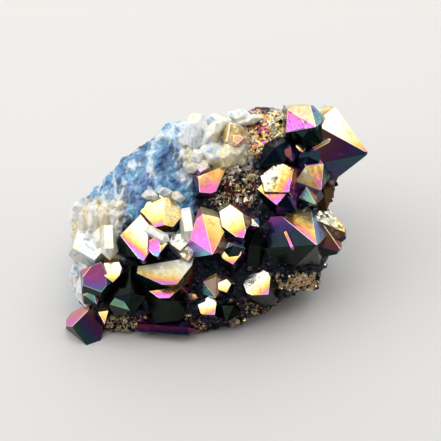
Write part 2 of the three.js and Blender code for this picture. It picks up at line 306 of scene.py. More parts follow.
def makeBaseMaterial():
    material, tree, shader = newMaterial("milkyQuartz")
    look = baseFinish
    place = addNode(tree, "TexCoord").outputs["Object"]
    bare, hollow, gilt = (attribute(tree, name) for name in ("bare", "hollow", "gilt"))
    turned = addNode(tree, "Mapping", {
        "Vector": place, "Scale": look["streakStretch"],
        "Rotation": (radians(-slope["angle"]), 0, look["streakTurn"]),
    }).outputs[0]
    streak = noiseOf(tree, turned, *look["streakNoise"])
    fine = noiseOf(tree, place, *look["fineNoise"])
    milk = colourRamp(tree, noiseOf(tree, place, *look["cloudNoise"]), look["milk"])
    for begin, full, *vein in look["veins"]:
        milk = tinted(tree, milk, spread(tree, streak, begin, full), *vein)
    # painted shade darkens the hollows, on bare quartz and on gilt
    milk = tinted(tree, milk, hollow, *look["pits"])
    giltColour = colourRamp(tree, blend(tree, streak, fine, look["giltStreaks"]), look["gilt"])
    milk = mixColour(tree, gilt, milk, tinted(tree, giltColour, hollow, *look["giltHollowShade"]))
    film = plus(tree, times(tree, streak, look["filmSpread"]), look["filmFrom"], clamp=True)
    coated = filmColour(tree, film, spread(tree, fine, *look["paintedShadeFromTo"]))
    # painted shade between the crust crystals
    coated = tinted(tree, coated, 1, *look["dark"])
    # crumpled druse: metal film in many tones, folded by the bump, with painted shade in noise patches
    foil, low, high = partsOf(tree, attribute(tree, "foil", "Vector"))
    folds, shade = crumple(tree, place, look["foilScale"])
    patches = noiseOf(tree, place, look["patchScale"])
    foilLightAndShade = blend(tree, patches, fine, look["patchShare"])
    foilLightAndShade = plus(tree, foilLightAndShade, times(tree, attribute(tree, "glow"), look["glowHelps"]))
    foilLightAndShade = spread(tree, foilLightAndShade, *look["litFromTo"])
    foilColour = filmColour(tree, between(tree, low, high, shade), foilLightAndShade)
    coated = mixColour(tree, foil, coated, foilColour)
    colour = mixColour(tree, bare, coated, milk)
    metal = minus(tree, look["metallic"], times(tree, bare, look["bareDulls"]))
    metal = plus(tree, metal, times(tree, foil, look["foilShine"]))
    rough = within(tree, streak, *look["roughness"])
    rough = minus(tree, rough, times(tree, foil, look["foilSmooths"]))
    grains = {"Vector": place, "Scale": look["sugarScale"]}
    sugar = addNode(tree, "TexVoronoi", grains).outputs["Distance"]
    heights = plus(tree, times(tree, streak, look["streaks"]), times(tree, sugar, look["sugar"]))
    folds = times(tree, folds, times(tree, foil, look["foilHeight"]))
    feed(tree, shader, {
        "Base Color": colour, "Metallic": metal, "Roughness": rough,
        "Normal": bumpOf(tree, plus(tree, heights, folds)),
        "Coat Weight": times(tree, bare, look["coat"]), "Coat Roughness": look["coatRoughness"],
    })
    return material


crystalMaterial = makeCrystalMaterial()
baseMaterial = makeBaseMaterial()
print("materials made")

base = {
    # the rim as seen from straight out of the slope
    "outline": [
        (-37, 4), (-32.5, 6.5), (-28, 11.5), (-21.5, 17.5), (-17.5, 20), (-13, 24.8), (-8, 25.2),
        (0, 25.5), (6, 27.3), (16, 28), (24, 26), (29, 21), (30, 13), (26.5, 4), (27.5, -8),
        (24, -15.5), (16.5, -19.5), (9.5, -23.5), (0, -26.8), (-18, -28), (-29, -28), (-36, -20),
        (-37, -10),
    ],
    "bulge": 9, "depth": 24, "rimBluntness": 0.75, "segments": (72, 44), "voxel": 0.5,
    # sunk: in front and behind; squash: how thin the second and third way
    "lumps": 130, "lumpSize": (2.2, 5.2), "turn": (0, 3), "sunk": (0.8, 0.5),
    "squash": ((0.7, 1), (0.6, 0.9)),
    "chipHeight": 0.5, "chipScale": 0.3, "chipMix": 7, "chipTilt": 2.2, "chipGroove": 0.4,
    # fine relief: how fine, roughness, steps between octaves, octaves
    "fineHeight": 0.36, "fine": (1.1, 0.6, 2.1, 4),
    # borders of the colour regions: how sharp, how far they wander
    "borderSharpness": 0.4, "borderWander": 2.2,
    # hollows: where they begin, how much chips and fine relief count
    "hollow": (-0.1, 0.9, 0.7),
}
rimPoints = sorted((atan2(v, u), hypot(u, v)) for u, v in base["outline"])


def rimDistance(angle):
    after = next((i for i, p in enumerate(rimPoints) if p[0] > angle), 0)
    high, low = rimPoints[after], rimPoints[after - 1]
    part = ((angle - low[0]) % tau) / ((high[0] - low[0]) % tau)
    return low[1] + (high[1] - low[1]) * part


def basePoint(around, rise):
    ring = rimDistance(around) * abs(cos(rise)) ** base["rimBluntness"]
    out = sin(rise) * (base["bulge"] if rise > 0 else base["depth"])
    return Vector((ring * cos(around), ring * sin(around), out))


def outwardAt(point, around):
    across = rimDistance(around) ** 2
    through = (base["bulge"] if point.z > 0 else base["depth"]) ** 2
    return Vector((point.x / across, point.y / across, point.z / through)).normalized()


def clamped(value):
    return max(0, min(1, value))


def regionShare(*depths):
    # depths: how far a point lies inside each region's borders, in mm
    return clamped(0.5 + max(depths) * base["borderSharpness"])


def giltness(point):
    u, v, w = point
    left = min(-24.5 - u, v + 11, 5.5 - v)
    upper = min(8 - u, u + 9.5, v - 11)
    return regionShare(left, upper) if w > -4 else 0


def bareness(point):
    u, v, w = point
    upperLeft = min(-7 - u, v + 2 + (u + 18) * 0.4)
    left = min(-24.5 - u, v + 10.5)
    edge = min(-33 - u, v + 23)
    upperMiddle = min(6.8 - u, v - 13.5)
    behind = -8 - w
    return regionShare(upperLeft, left, edge, upperMiddle, behind)


def cutAway(bm, place, normal):
    cut = bmesh.ops.bisect_plane(
        bm, geom=bm.verts[:] + bm.edges[:] + bm.faces[:], dist=1e-5,
        plane_co=place, plane_no=normal, clear_outer=True,
    )
    return [part for part in cut["geom_cut"] if isinstance(part, bmesh.types.BMEdge)]


def cutAtFloor(bm):
    edges = cutAway(bm, floorNormal * floorReach, -floorNormal)
    if edges:
        bmesh.ops.holes_fill(bm, edges=edges, sides=0)


def meshFrom(bm, name):
    mesh = bpy.data.meshes.new(name)
    bm.to_mesh(mesh)
    bm.free()
    return mesh


def placeObject(name, data):
    placed = bpy.data.objects.new(name, data)
    bpy.context.scene.collection.objects.link(placed)
    return placed


def finishPiece(bm, name, material, smooth=False):
    bmesh.ops.transform(bm, matrix=slopeFrame, verts=bm.verts)
    mesh = meshFrom(bm, name)
    mesh.materials.append(material)
    for polygon in mesh.polygons:
        polygon.use_smooth = smooth
    piece = placeObject(name, mesh)
    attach(piece, "root")
    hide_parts("quartz_cluster")
    print(name, sum(len(p.vertices) - 2 for p in mesh.polygons), "triangles")


def chipNoise(point):
    # flat chips of a cell pattern, each tilted its own way, with grooves between them
    spot = point * base["chipScale"]
    near, points = noise.voronoi(spot)
    tilt = noise.cell_vector(points[0] * base["chipMix"]) - Vector((0.5, 0.5, 0.5))
    chip = (spot - points[0]).dot(tilt) * base["chipTilt"]
    return chip + (near[1] - near[0]) * base["chipGroove"]


def pick(look, name):
    return chance.uniform(*look[name])


def jitter():
    return Vector([chance.uniform(-1, 1) for _ in range(3)])


def somewhere(low, high):
    # a direction from the middle: angle around, and rise between two heights
    return chance.uniform(-pi, pi), asin(chance.uniform(low, high))


crust = {
    "kinds": 8, "setback": (0, 0.5), "standOut": (0, 0.4), "stand": (0.9, 1.6), "askew": 0.6,
    "bodySize": 40, "haze": 0.3, "floorGap": 1.2, "spread": 0.62, "spreadLimit": 1.3,
    "rayFrom": 60,
    # film of one crystal: painted shade where it faces down, how far the film runs on
    "paintedShadeBelow": 0.7, "paintedShadeOver": 0.3, "paleMostShade": 0.6, "filmRun": 0.2,
    # foil around a patch: how far past it, how sharp its edge, how far down
    "foilReach": 1.25, "foilSharpness": 3, "foilDown": -6,
    # single crystals all round: radius from, to; share of pale ones; film of the pale, of the dark,
    # painted in shade
    "strays": 800, "strayFrom": 1.6, "stray": (0.3, 0.8, 0.35, (0, 0.6), (0.6, 1)),
    # middle u, v; half width, half height; how many; radius from, to; share of pale ones;
    # film of the pale ones, of the dark ones in painted shade; how much foil lies between
    "patches": [
        (3.5, 8.6, 5.6, 5.4, 300, 0.1, 0.4, 0.4, (0, 0.34), (0.9, 1), 0.85),
        (9.6, 22.5, 2.7, 6, 120, 0.1, 0.34, 0.8, (0.16, 0.6), (0.1, 0.4), 1),
        (14, 22.4, 2.9, 6, 120, 0.1, 0.34, 0.95, (0, 0.36), (0, 0.2), 1),
        (10.8, -22, 5, 3, 160, 0.2, 0.5, 0.4, (0.06, 0.4), (0.9, 1), 0.3),
        (19.9, -15.6, 4.6, 1.8, 190, 0.2, 0.5, 0.9, (0, 0.36), (0, 0.3), 1),
        (-25, -26, 4.8, 2.2, 170, 0.18, 0.5, 0.6, (0.04, 0.34), (0.9, 1), 0.7),
        (-9, -26.2, 4, 1.8, 120, 0.2, 0.5, 0.6, (0.06, 0.4), (0.9, 1), 0.6),
        (20.3, 1.8, 3.4, 0.9, 70, 0.15, 0.3, 1, (0, 0.2), (0.7, 1), 0.6),
        (0, -16, 34, 13, 500, 0.2, 0.8, 0.08, (0, 0.5), (0.72, 1), 0),
        (20, 4, 12, 16, 420, 0.2, 0.8, 0.1, (0, 0.5), (0.72, 1), 0),
    ],
}


def foilAt(point):
    # how much foil lies at a point of the base, its film from and to, and how much of it glows
    best = (0.0, 0.0, 0.3, 0.0)
    for middleU, middleV, halfU, halfV, _, _, _, share, pale, _, amount in crust["patches"]:
        apart = hypot((point.x - middleU) / halfU, (point.y - middleV) / halfV)
        here = clamped((crust["foilReach"] - apart) * crust["foilSharpness"]) * amount
        if point.z > crust["foilDown"] and here > best[0]:
            best = (here, *pale, share)
    return best


def addLump(bm):
    around, rise = somewhere(-0.95, 0.95)
    point = basePoint(around, rise)
    size = pick(base, "lumpSize")
    sunk = base["sunk"][0 if point.z > -4 else 1]
    shape = Matrix.Translation(point - outwardAt(point, around) * size * sunk)
    for axis in "XYZ":
        shape = shape @ Matrix.Rotation(pick(base, "turn"), 4, axis)
    second, third = (chance.uniform(*reach) for reach in base["squash"])
    shape = shape @ Matrix.Diagonal((1, second, third, 1))
    bmesh.ops.create_icosphere(bm, subdivisions=1, radius=size, matrix=shape)


def joinByVoxels(bm):
    draft = placeObject("baseDraft", meshFrom(bm, "baseDraft"))
    remesh = draft.modifiers.new("remesh", "REMESH")
    remesh.mode, remesh.voxel_size = "VOXEL", base["voxel"]
    solid = draft.evaluated_get(bpy.context.evaluated_depsgraph_get()).to_mesh()
    joined = bmesh.new()
    joined.from_mesh(solid)
    bpy.data.objects.remove(draft)
    joined.normal_update()
    return joined


def makeBase():
    bm = bmesh.new()
    around, along = base["segments"]
    bmesh.ops.create_uvsphere(bm, u_segments=around, v_segments=along, radius=1)
    for vert in bm.verts:
        rise = asin(max(-1, min(1, vert.co.z)))
        vert.co = basePoint(atan2(vert.co.y, vert.co.x), rise)
    for _ in range(base["lumps"]):
        addLump(bm)
    bm = joinByVoxels(bm)
    bare, hollow, gilt, glow = (
        bm.verts.layers.float.new(name) for name in ("bare", "hollow", "gilt", "glow")
    )
    foil = bm.verts.layers.float_vector.new("foil")
    moves = []
    fineScale, *octaves = base["fine"]
    begin, chipCounts, fineCounts = base["hollow"]
    for vert in bm.verts:
        chip, fine = chipNoise(vert.co), noise.fractal(vert.co * fineScale, *octaves)
        height = base["chipHeight"] * chip + base["fineHeight"] * fine
        moves.append(vert.normal * height)
        blurred = vert.co + Vector((fine, chip, 0)) * base["borderWander"]
        vert[bare], vert[gilt] = bareness(blurred), giltness(blurred)
        amount, low, high, vert[glow] = foilAt(blurred)
        vert[foil] = (amount, low, high)
        vert[hollow] = clamped(begin - chip * chipCounts - fine * fineCounts)
    for vert, move in zip(bm.verts, moves):
        vert.co += move
    cutAtFloor(bm)
    return bm


baseMesh = makeBase()
baseTree = BVHTree.FromBMesh(baseMesh)
print("base shaped")

quartz = {
    "tipFaceAngle": 51.8, "bodySize": 120, "backStand": 1.1,
    # worn edges, which carry a painted highlight beside pale faces; the share is the most of a crystal's
    # radius
    "edgeWidth": 0.06, "edgeShare": 0.03, "edgeHighlightFilm": 0.16, "sharpFrom": 0.1,
    "paleBelow": 0.4, "tipLines": 0.1,
    # thin plates, which are steps of growth: how often, on which faces, from what radius
    "plates": 0.4, "platedFaces": (10, 11, 12, 14, 15), "platedFrom": 2.5,
    "plateHeight": (0.05, 0.16), "plateEdge": 0.04, "plateInset": 0.02,
    "plateDepth": (0.3, 0.7), "plateTurn": 1.4, "plateSlope": (0.7, 0.7),
}
# marks of faces: the six tip faces from 10, the six side faces from 20, and so on
marks = {"tip": 10, "side": 20, "foot": 30, "more": 40, "edge": 50, "block": 60}
# tip u, v, w; lean of the axis from w; heading of the lean; twist; radius to a side face; length.
# Where given: setback of every second tip face, how far the first side face stands out, and more
# flat faces by lean and heading of the normal and how far beyond the tip
frontCrystals = {
    # right edge, pointing right
    "rightUpper": [37.2, 16.8, 6.5, 58, -9, 1, 9.2, 15, 0, 0, [70, 96, 10.2], [56, -9, -0.7]],
    "rightMiddle": [32.8, -3.6, 5, 64, -6, 4, 6.2, 14, 0, 0, [80, 6, -1.4]],
    "rightLower": [30.8, -8.2, 5.5, 60, -35, 0, 5.6, 13, 0, 0, [80, -38, -1.2]],
    "rightInner": [26.6, 2.2, 4.6, 66, -70, 10, 3.4, 13],
    # upper right
    "pinkCorner": [23.7, 23.2, 13.8, 25, -12, 0, 5.4, 15, 0, 0, [84, 176, 6.9], [84, 92, 5]],
    "whiteBlock": [16.9, 7, 14, 24, -52, 0, 5.2, 14, 2, 0],
    "goldRidge": [25, 7.5, 11.5, 42, -58, 30, 4.1, 12],
    "blueRidge": [23.8, 4, 11, 35, -60, 30, 2.9, 10],
    "navyLeft": [9.5, 13.5, 10, 62, -150, 0, 3.6, 11],
    "redBrown": [18, 14.5, 11, 38, -70, 10, 2.4, 8],
    "navyRight": [21, 11, 9.5, 62, -100, 30, 3, 10],
    "greenLens": [25.6, 18.6, 11.8, 60, -40, 0, 3.3, 10],
    "lensRim": [27.4, 20.2, 12.2, 80, 29, 0, 0.45, 5],
    "chipOne": [20, 19.5, 9.5, 25, -60, 0, 1.9, 6, 0.5, 0],
    "chipTwo": [20.5, 17, 9.5, 25, -75, 0, 1.7, 6, 0.5, 0],
    # the large crystal at the right, dark with painted shade, and its neighbours
    "darkLarge": [
        23.8, -6.1, 15, 25, -18, 0, 10, 19, 0, 0, [80, -11, 1.2], [80, -104, 5], [82, 97, 7.4],
    ],
    "pinkSliver": [18.1, -7.4, 12.8, 71, -66, 0, 0.55, 5.2],
    "darkAbove": [19, 2, 12, 62, -40, 0, 3.2, 11],
    "blackPost": [9, -2, 10.8, 60, 84, 0, 2.6, 13],
    "whiteFlake": [9.6, -1.6, 13, 35, -30, 0, 1.6, 7],
    # middle
    "pinkYellow": [-2, -8.4, 16.5, 28, -76, 30, 6.4, 15, 0, 0, [84, 162, 6.1]],
    "whiteHigh": [5.7, -4.3, 15.5, 26, -58, 0, 4.4, 14, 0.6, 1.6],
    "cyanLens": [3.1, -6, 14.4, 22, 95, 0, 2.6, 10],
    "creamBelow": [3.1, -10.9, 13.6, 27, -80, 0, 3.6, 10, 1, 0],
    "peachLozenge": [-5.2, 7, 13, 28, -135, 0, 3.4, 12, 1, 3.2],
    "silverPost": [-7.4, -5.6, 12, 62, -82, 0, 1.9, 9],
    "whiteStar": [-10, -7.5, 12, 22, -85, 0, 3, 9, 1, 0],
    "goldCrumple": [-8, -10, 12, 30, -80, 0, 2.4, 9, 0.6, 0],
    "silverBar": [-12.5, -5.2, 12.7, 68, -28, 0, 1.15, 7],
    # upper middle, hardly filmed
    "whiteKnob": [-5, 12, 11, 28, -100, 0, 2.2, 8, 0.6, 0],
    # left
    "creamLeft": [-19, -10, 13, 33, -72, 0, 6, 15, 0.5, 1.3, [84, 135, 8.4]],
    "pinkSmall": [-15.5, -9, 13, 30, -75, 10, 3.1, 10, 0.4, 0],
    "magentaPeak": [-29.8, -10.3, 9.8, 45, 80, -14, 4.4, 9, 0.9, 0],
    "creamWedge": [-26.8, -15.4, 10.6, 30, -85, 0, 3.3, 9, 0.8, 0],
    "milkBlock": [-31.4, -9.9, 9.6, 20, -80, 0, 5.8, 11, 2.4, 0],
    "milkPost": [-27.5, -10, 10.3, 62, -86, 0, 1.9, 9],
    "greyEdge": [-34, -22, 4.5, 74, -93, 20, 2.6, 15],
    "whiteLobe": [-37, -17, 2, 62, -112, 0, 2, 8],
    # lower left
    "cornerLeft": [-37.3, -26.6, 6, 32, 176, 0, 5.2, 13, 2.2, 0, [84, 176, 1.3], [80, -8, 7]],
    "navyWedge": [-22.5, -24.5, 8, 70, -90, 30, 4, 15],
    "greenLeaf": [-22.5, -22.5, 9.8, 35, -36, 0, 3.3, 9],
    "greenSmall": [-31, -21, 8, 40, -55, 0, 2.3, 7],
    "goldSmall": [-29, -26, 7.5, 30, -90, 10, 2.2, 7],
    # lower middle
    "upperLedge": [
        -11.8, -17, 14.5, 17, -76, 0, 9, 17, 3.5, 0, [82, 100, 6.2], [80, -8, 3.2], [68, -92, -1.4],
    ],
    "lowerLedge": [
        -13.8, -20.2, 13.6, 20, -86, 0, 9, 16, 6.5, 0,
        [82, 98, 2.9], [80, -5, 4.6], [72, -90, -1.1],
    ],
    "oliveFront": [-13.3, -19.9, 12.4, 4, 90, 0, 8, 18],
    "brownBlue": [-1.2, -19.2, 11, 34, -85, 20, 3.1, 9],
    "goldNotch": [1.6, -17.9, 11.2, 28, -75, 10, 2.1, 8, 0.8, 0],
    "whiteLow": [-1.5, -23.5, 9, 30, -50, 0, 3, 9, 1, 0],
    "oliveLow": [1.5, -25.5, 8, 38, -100, 10, 2.7, 8],
    "whitePlate": [11.9, -18.4, 10.8, 24, -47, 0, 4.6, 12, 1.4, 0],
    "bottomBand": [-5.8, -27.4, 5, 84, -4, 20, 1.7, 15],
    # the blunt crystal left of the middle: a sloping fracture has taken its tip
    "brokenTip": [-13.9, -4, 13, 28, -88, 30, 6.8, 14, 0, 0, [60, -90, -3]],
}
# place on the base as angle around and rise, twist, radius
backCrystals = [
    (10, -34, 10, 4.6), (26, -30, 0, 5), (43, -33, 15, 5.4), (61, -40, 0, 4.6), (79, -36, 20, 4),
    (97, -42, 5, 4.4), (-9, -40, 0, 4), (-24, -30, 10, 3.6), (30, -54, 20, 4.6), (70, -60, 0, 5.2),
    (8, -60, 15, 4.2), (112, -60, 0, 4.4), (128, -44, 10, 3.8), (150, -54, 0, 3.4),
    (172, -38, 20, 4.2), (189, -28, 0, 3.4), (52, -74, 10, 3.6),
]
# colours of single faces: film at the start and the end, painted shade, direction the film runs in,
# bend;
# three numbers stand for a film that runs down evenly. Faces go by their marks, "all" is the rest
# painted shade darkens faces turned from the light, and the crystals that are dark all over
faceTones = {
    "rightUpper": {
        10: (0.2, 0.86, 0.86, -40, 1.3), 11: (0.9, 0.3, 0.92, -110, 2.2),
        15: (0.02, 0.54, 0, -45, 2), 14: (0.1, 0.3, 0.3, -60),
    },
    "rightMiddle": {
        15: (0.08, 0.36, 0, -60), 10: (0.1, 0.36, 0.8), 40: (0.26, 0.85, 0.85, -80, 1),
        11: (0.84, 0.95, 1), 14: (0.05, 0.3, 0.2, -60),
    },
    "rightLower": {
        15: (0.3, 0.56, 0.35, -60), 10: (0.34, 0.52, 0.5, -70, 1), 11: (0.8, 0.96, 1),
        40: (0.78, 0.95, 1), 12: (0.85, 1, 1),
    },
    "rightInner": {"all": (0, 0.1, 1)},
    "pinkCorner": {
        10: (0.5, 0.7, 0, -95, 1.2), 15: (0.24, 0.14, 0.35, -60), 11: (0.84, 1, 1),
        12: (0.8, 1, 1, -60, 1), 14: (0.8, 0.9, 0.3, -60), 13: (0.6, 0.86, 0.8, -60),
    },
    "whiteBlock": {
        10: (0.04, 0.66, 0, -30, 1.6), 11: (0.3, 0.66, 0.25, -100), 12: (0.98, 0.86, 1, -20, 1),
        14: (0.42, 0.7, 0.15, -60, 1), 20: (0.2, 0.5, 0.7, -60, 1), 21: (0.1, 0.4, 0.8, -60, 1),
    },
    "goldRidge": {10: (0.16, 0.42, 0.1, -40, 1), 15: (0.28, 0.66, 0, -75, 1), 11: (0.9, 0.7, 0.5, -60)},
    "blueRidge": {10: (0.86, 1, 0.35, -20, 1), 15: (0.1, 0.36, 0.85, -60, 1), 11: (0.7, 0.82, 0.9, -60)},
    "navyLeft": {"all": (0.62, 0.78, 1, -60, 1)},
    "redBrown": {10: (0.12, 0.4, 0.95, -60, 1), "all": (0.5, 0.7, 1, -60, 1)},
    "greenLens": {"all": (0.82, 0.96, 1, -60, 1)},
    "lensRim": {"all": (0.1, 0.6, 0, -120, 1)},
    "navyRight": {"all": (0.6, 0.8, 1, -60, 1)},
    "darkLarge": {
        10: (0.38, 0.9, 1, -75, 1), 15: (0.22, 0.58, 0, -125, 1.7), 11: (0.88, 1, 1),
        12: (0.9, 1, 1), 14: (0.85, 0.8, 0.4, -90), 13: (0.7, 0.9, 1), 20: (0.4, 0.6, 1),
        40: (0.85, 1, 1), 41: (0.95, 1, 1), 42: (0.66, 0.7, 1),
    },
    "pinkSliver": {"all": (0.46, 0.62, 0, -60, 1)},
    "darkAbove": {10: (0.6, 0.76, 1, -60, 1), 15: (0.7, 0.6, 0.8, -60, 1)},
    "blackPost": {"all": (0.96, 1, 1, -80, 1)},
    "whiteFlake": {10: (0, 0.1, 0, -60), 15: (0.78, 0.9, 0.2, -60)},
    "pinkYellow": {
        10: (0.5, 0.7, 0, -95, 2), 15: (0.26, 0.6, 0, -115, 1.5), 11: (0.64, 0.9, 0, -70, 1),
        14: (0.3, 0.5, 0.5, -90), 20: (0.45, 0.56, 0, -95), 25: (0.2, 0.34, 0, -95),
    },
    "whiteHigh": {10: (0.03, 0.64, 0, -60, 1.4), 15: (0, 0.3, 0.8, -60, 1), 20: (0, 0.1, 0, -80)},
    "cyanLens": {
        13: (0.5, 0.92, 0, 160, 1), 12: (0.8, 0.9, 0, -60), 14: (0.8, 0.9, 0, -60),
        "all": (0.7, 1, 1),
    },
    "creamBelow": {10: (0.08, 0.62, 0, -90, 2)},
    "peachLozenge": {10: (0.34, 0.6, 0, -75, 1), 20: (0.16, 0.3, 0, -60)},
    "silverPost": {"all": (0, 0.3, 0.1, -80)},
    "silverBar": {"all": (0, 0.06, 0.2, -60)},
    "whiteStar": {10: (0, 0.16, 0, -80)},
    "goldCrumple": {10: (0.08, 0.5, 0, -80)},
    "creamLeft": {
        10: (0.06, 0.86, 0, -130, 3), 15: (0.42, 0.62, 0.35, -90), 11: (0.8, 0.98, 1),
        20: (0.02, 0.15, 0, -90), 21: (0.8, 0.95, 1),
    },
    "pinkSmall": {10: (0.5, 0.92, 0, -80, 1.6), 11: (0.2, 0.45, 1)},
    "magentaPeak": {
        10: (0.56, 0.92, 0.36, -95, 3), 11: (0.6, 0.9, 0.6, -90), 15: (0.5, 0.7, 0, -90),
        "all": (0.85, 0.98, 1),
    },
    "creamWedge": {10: (0.1, 0.5, 0, -90, 2)},
    "milkBlock": {10: (0, 0.12, 0, -90)},
    "milkPost": {"all": (0, 0.3, 0, -90)},
    "cornerLeft": {
        10: (0.2, 0.95, 0.84, -135, 0.8), 12: (0.47, 0.58, 0, -100, 1.4), 14: (0.95, 1, 1),
        40: (0.5, 0.85, 0.1, -100), 41: (0.1, 0.4, 1, -100, 1), 21: (0.1, 0.5, 0.3, -90),
    },
    "navyWedge": {10: (0.8, 1, 1), "all": (0.9, 1, 1)},
    "greenLeaf": {10: (0.9, 1, 0.6), "all": (0.9, 1, 1)},
    "greenSmall": {10: (0.98, 0.88, 0.45)},
    "goldSmall": {10: (0.3, 0.62, 0, -90)},
    "upperLedge": {
        10: (0.05, 0.74, 0, -97, 3), 12: (0.8, 0.97, 1, -60, 1), 14: (0, 0.36, 1, -60, 1),
        11: (0.78, 0.95, 1), 41: (0, 0.34, 1, -70, 1), 40: (0.9, 1, 1), 42: (0.93, 1, 1),
    },
    "lowerLedge": {
        10: (0.3, 0.72, 0, -92, 1.2), 12: (0.93, 1, 1), 14: (0.97, 1, 1), 41: (0.1, 0.4, 1),
        40: (0.95, 1, 1), 42: (0.97, 1, 1),
    },
    "oliveFront": {"all": (0.93, 1, 1)},
    "brownBlue": {10: (0.2, 0.06, 0.8, -20, 1), 11: (0.84, 0.9, 0.1, -90), 15: (0.06, 0.2, 0.9, -60)},
    "goldNotch": {10: (0.1, 0.5, 0, -80)},
    "whiteLow": {10: (0, 0.7, 0, -70, 1.8)},
    "oliveLow": {"all": (0.9, 1, 1)},
    "whitePlate": {10: (0, 0.72, 0, -50, 2), 12: (0.9, 1, 1), 14: (0.86, 0.95, 1)},
    "bottomBand": {"all": (0.1, 0.8, 1)},
    "brokenTip": {
        10: (0.22, 0.62, 0, -80, 3), 15: (0.26, 0.34, 0.08, -90), 40: (0, 0.1, 1),
        20: (0.12, 0.3, 0, -90), 25: (0.28, 0.36, 0, -90), 11: (0.2, 0.42, 0.2, -90),
    },
}
# how milky a crystal is, how crumpled its faces are and how much of their shine is lost, 0 to 1
wear = {
    "milkBlock": (0.75, 0.3, 0), "milkPost": (0.55, 0, 0), "greyEdge": (0.95, 0, 0),
    "whiteLobe": (0.95, 0, 0), "silverPost": (0.6, 0, 0), "silverBar": (0.8, 0, 0),
    "whiteKnob": (0.6, 0.5, 0), "whiteStar": (0.35, 0.5, 0), "goldCrumple": (0.3, 1, 0),
    "whiteBlock": (0, 0.7, 0), "pinkCorner": (0, 0.3, 0), "rightMiddle": (0, 0.5, 0),
    "upperLedge": (0, 0.4, 0.75), "goldRidge": (0, 0.2, 0.5), "cyanLens": (0, 0.3, 0.3),
    "magentaPeak": (0, 0, 0.5), "peachLozenge": (0, 0, 0.3), "darkLarge": (0, 0, 0.14),
    "blueRidge": (0, 0, 0.4), "rightUpper": (0, 0, 0.1), "cornerLeft": (0, 0, 0.12),
    "pinkYellow": (0, 0, 0.3), "brownBlue": (0, 0, 0.3), "greenLeaf": (0, 0, 0.5),
    "greenSmall": (0, 0, 0.5), "bottomBand": (0, 0, 0.1),
}


def direction(lean, heading):
    lean, heading = radians(lean), radians(heading)
    return Vector((sin(lean) * cos(heading), sin(lean) * sin(heading), cos(lean)))


def crystalPlanes(row):
    u, v, w, lean, heading, twist, radius, length, *shape = row
    setback, standOut, *moreFaces = shape or (0, 0)
    tip, axis = Vector((u, v, w)), direction(lean, heading)
    front = direction(lean - 90, heading)
    slant = radians(quartz["tipFaceAngle"])
    planes = []
    for k in range(6):
        outward = Matrix.Rotation(radians(twist + 60 * k), 3, axis) @ front
        tipFace = outward * sin(slant) + axis * cos(slant)
        tipReach = tip.dot(tipFace) + (setback if k % 2 else 0)
        sideReach = tip.dot(outward) + radius + (0 if k else standOut)
        planes.append((tipFace, tipReach, marks["tip"] + k))
        planes.append((outward, sideReach, marks["side"] + k))
    planes.append((-axis, -tip.dot(axis) + length, marks["foot"]))
    for i, (faceLean, faceHeading, beyond) in enumerate(moreFaces):
        normal = direction(faceLean, faceHeading)
        planes.append((normal, tip.dot(normal) + beyond, marks["more"] + i))
    return planes, tip, axis


def bodyBehind(planes, centre, size):
    bm = bmesh.new()
    bmesh.ops.create_cube(bm, size=size, matrix=Matrix.Translation(centre))
    mark = bm.faces.layers.int.new("mark")
    for normal, reach, faceMark in planes:
        edges = cutAway(bm, normal * reach, normal)
        if len(edges) > 2:
            for face in bmesh.ops.holes_fill(bm, edges=edges, sides=0)["faces"]:
                face[mark] = faceMark
    bmesh.ops.recalc_face_normals(bm, faces=bm.faces)
    return bm


def paintLayers(bm):
    loops = bm.loops.layers
    vectors = [loops.float_vector.new(name) for name in ("path", "tone", "grain")]
    return vectors + [loops.float.new(name) for name in ("side", "crumpled", "hazy")]


# film of a face with no colours of its own: pale where it looks up, painted shade where it doesn't;
# where it starts, how far it goes on, bend
ownTone = {
    "paintedShadeBelow": (0.76, 0.05), "paintedShadeOver": 0.14, "fall": (-0.75, 0.6),
    "pale": ((0.0, 0.3), (0.35, 0.7), 1.7), "paintedShade": ((0.25, 0.6), (0.2, 0.5), 1.0),
}


def defaultTone(normal, axis):
    middle, around = ownTone["paintedShadeBelow"]
    level = middle + chance.uniform(-around, around)
    # painted shade: faces turned down, away from the light above, take the darkened film
    paintedShade = clamped((level - (toWorldTurn @ normal).z) / ownTone["paintedShadeOver"])
    starts, reaches, bend = ownTone["pale" if paintedShade < 0.5 else "paintedShade"]
    start, reach = chance.uniform(*starts), chance.uniform(*reaches)
    down, onward = ownTone["fall"]
    fall = Vector((0, down, 0)) + axis * onward
    return start, start + reach, paintedShade, degrees(atan2(fall.y, fall.x)), bend


def facePaint(face, kind, axis, tones):
    start, end, paintedShade, flow, bend = defaultTone(face.normal, axis)
    if kind in tones or "all" in tones:
        start, end, paintedShade, *rest = tones.get(kind, tones.get("all"))
        flow, bend = [*rest, bend][:2] if rest else (-90, 1.0)
    run = Vector((cos(radians(flow)), sin(radians(flow)), 0))
    run -= face.normal * run.dot(face.normal)
    spots = [vert.co.dot(run) for vert in face.verts]
    return start, end, paintedShade, bend, run, min(spots), max(max(spots) - min(spots), 1e-4)


def edgePaint(face, mark, known):
    # a worn edge takes the painted shade of the darker of two dark faces, and beside a pale one a
    # painted highlight
    beside = [near for edge in face.edges for near in edge.link_faces if near[mark] in known]
    paints = sorted((known[near[mark]] for near in beside), key=lambda paint: paint[2])
    if paints and paints[0][2] > quartz["paleBelow"]:
        return paints[-1]
    paintedEdgeHighlight = (quartz["edgeHighlightFilm"], quartz["edgeHighlightFilm"], 0.0, 1.0, Vector((0, -1, 0)), 0, 1)
    return paintedEdgeHighlight if paints else None


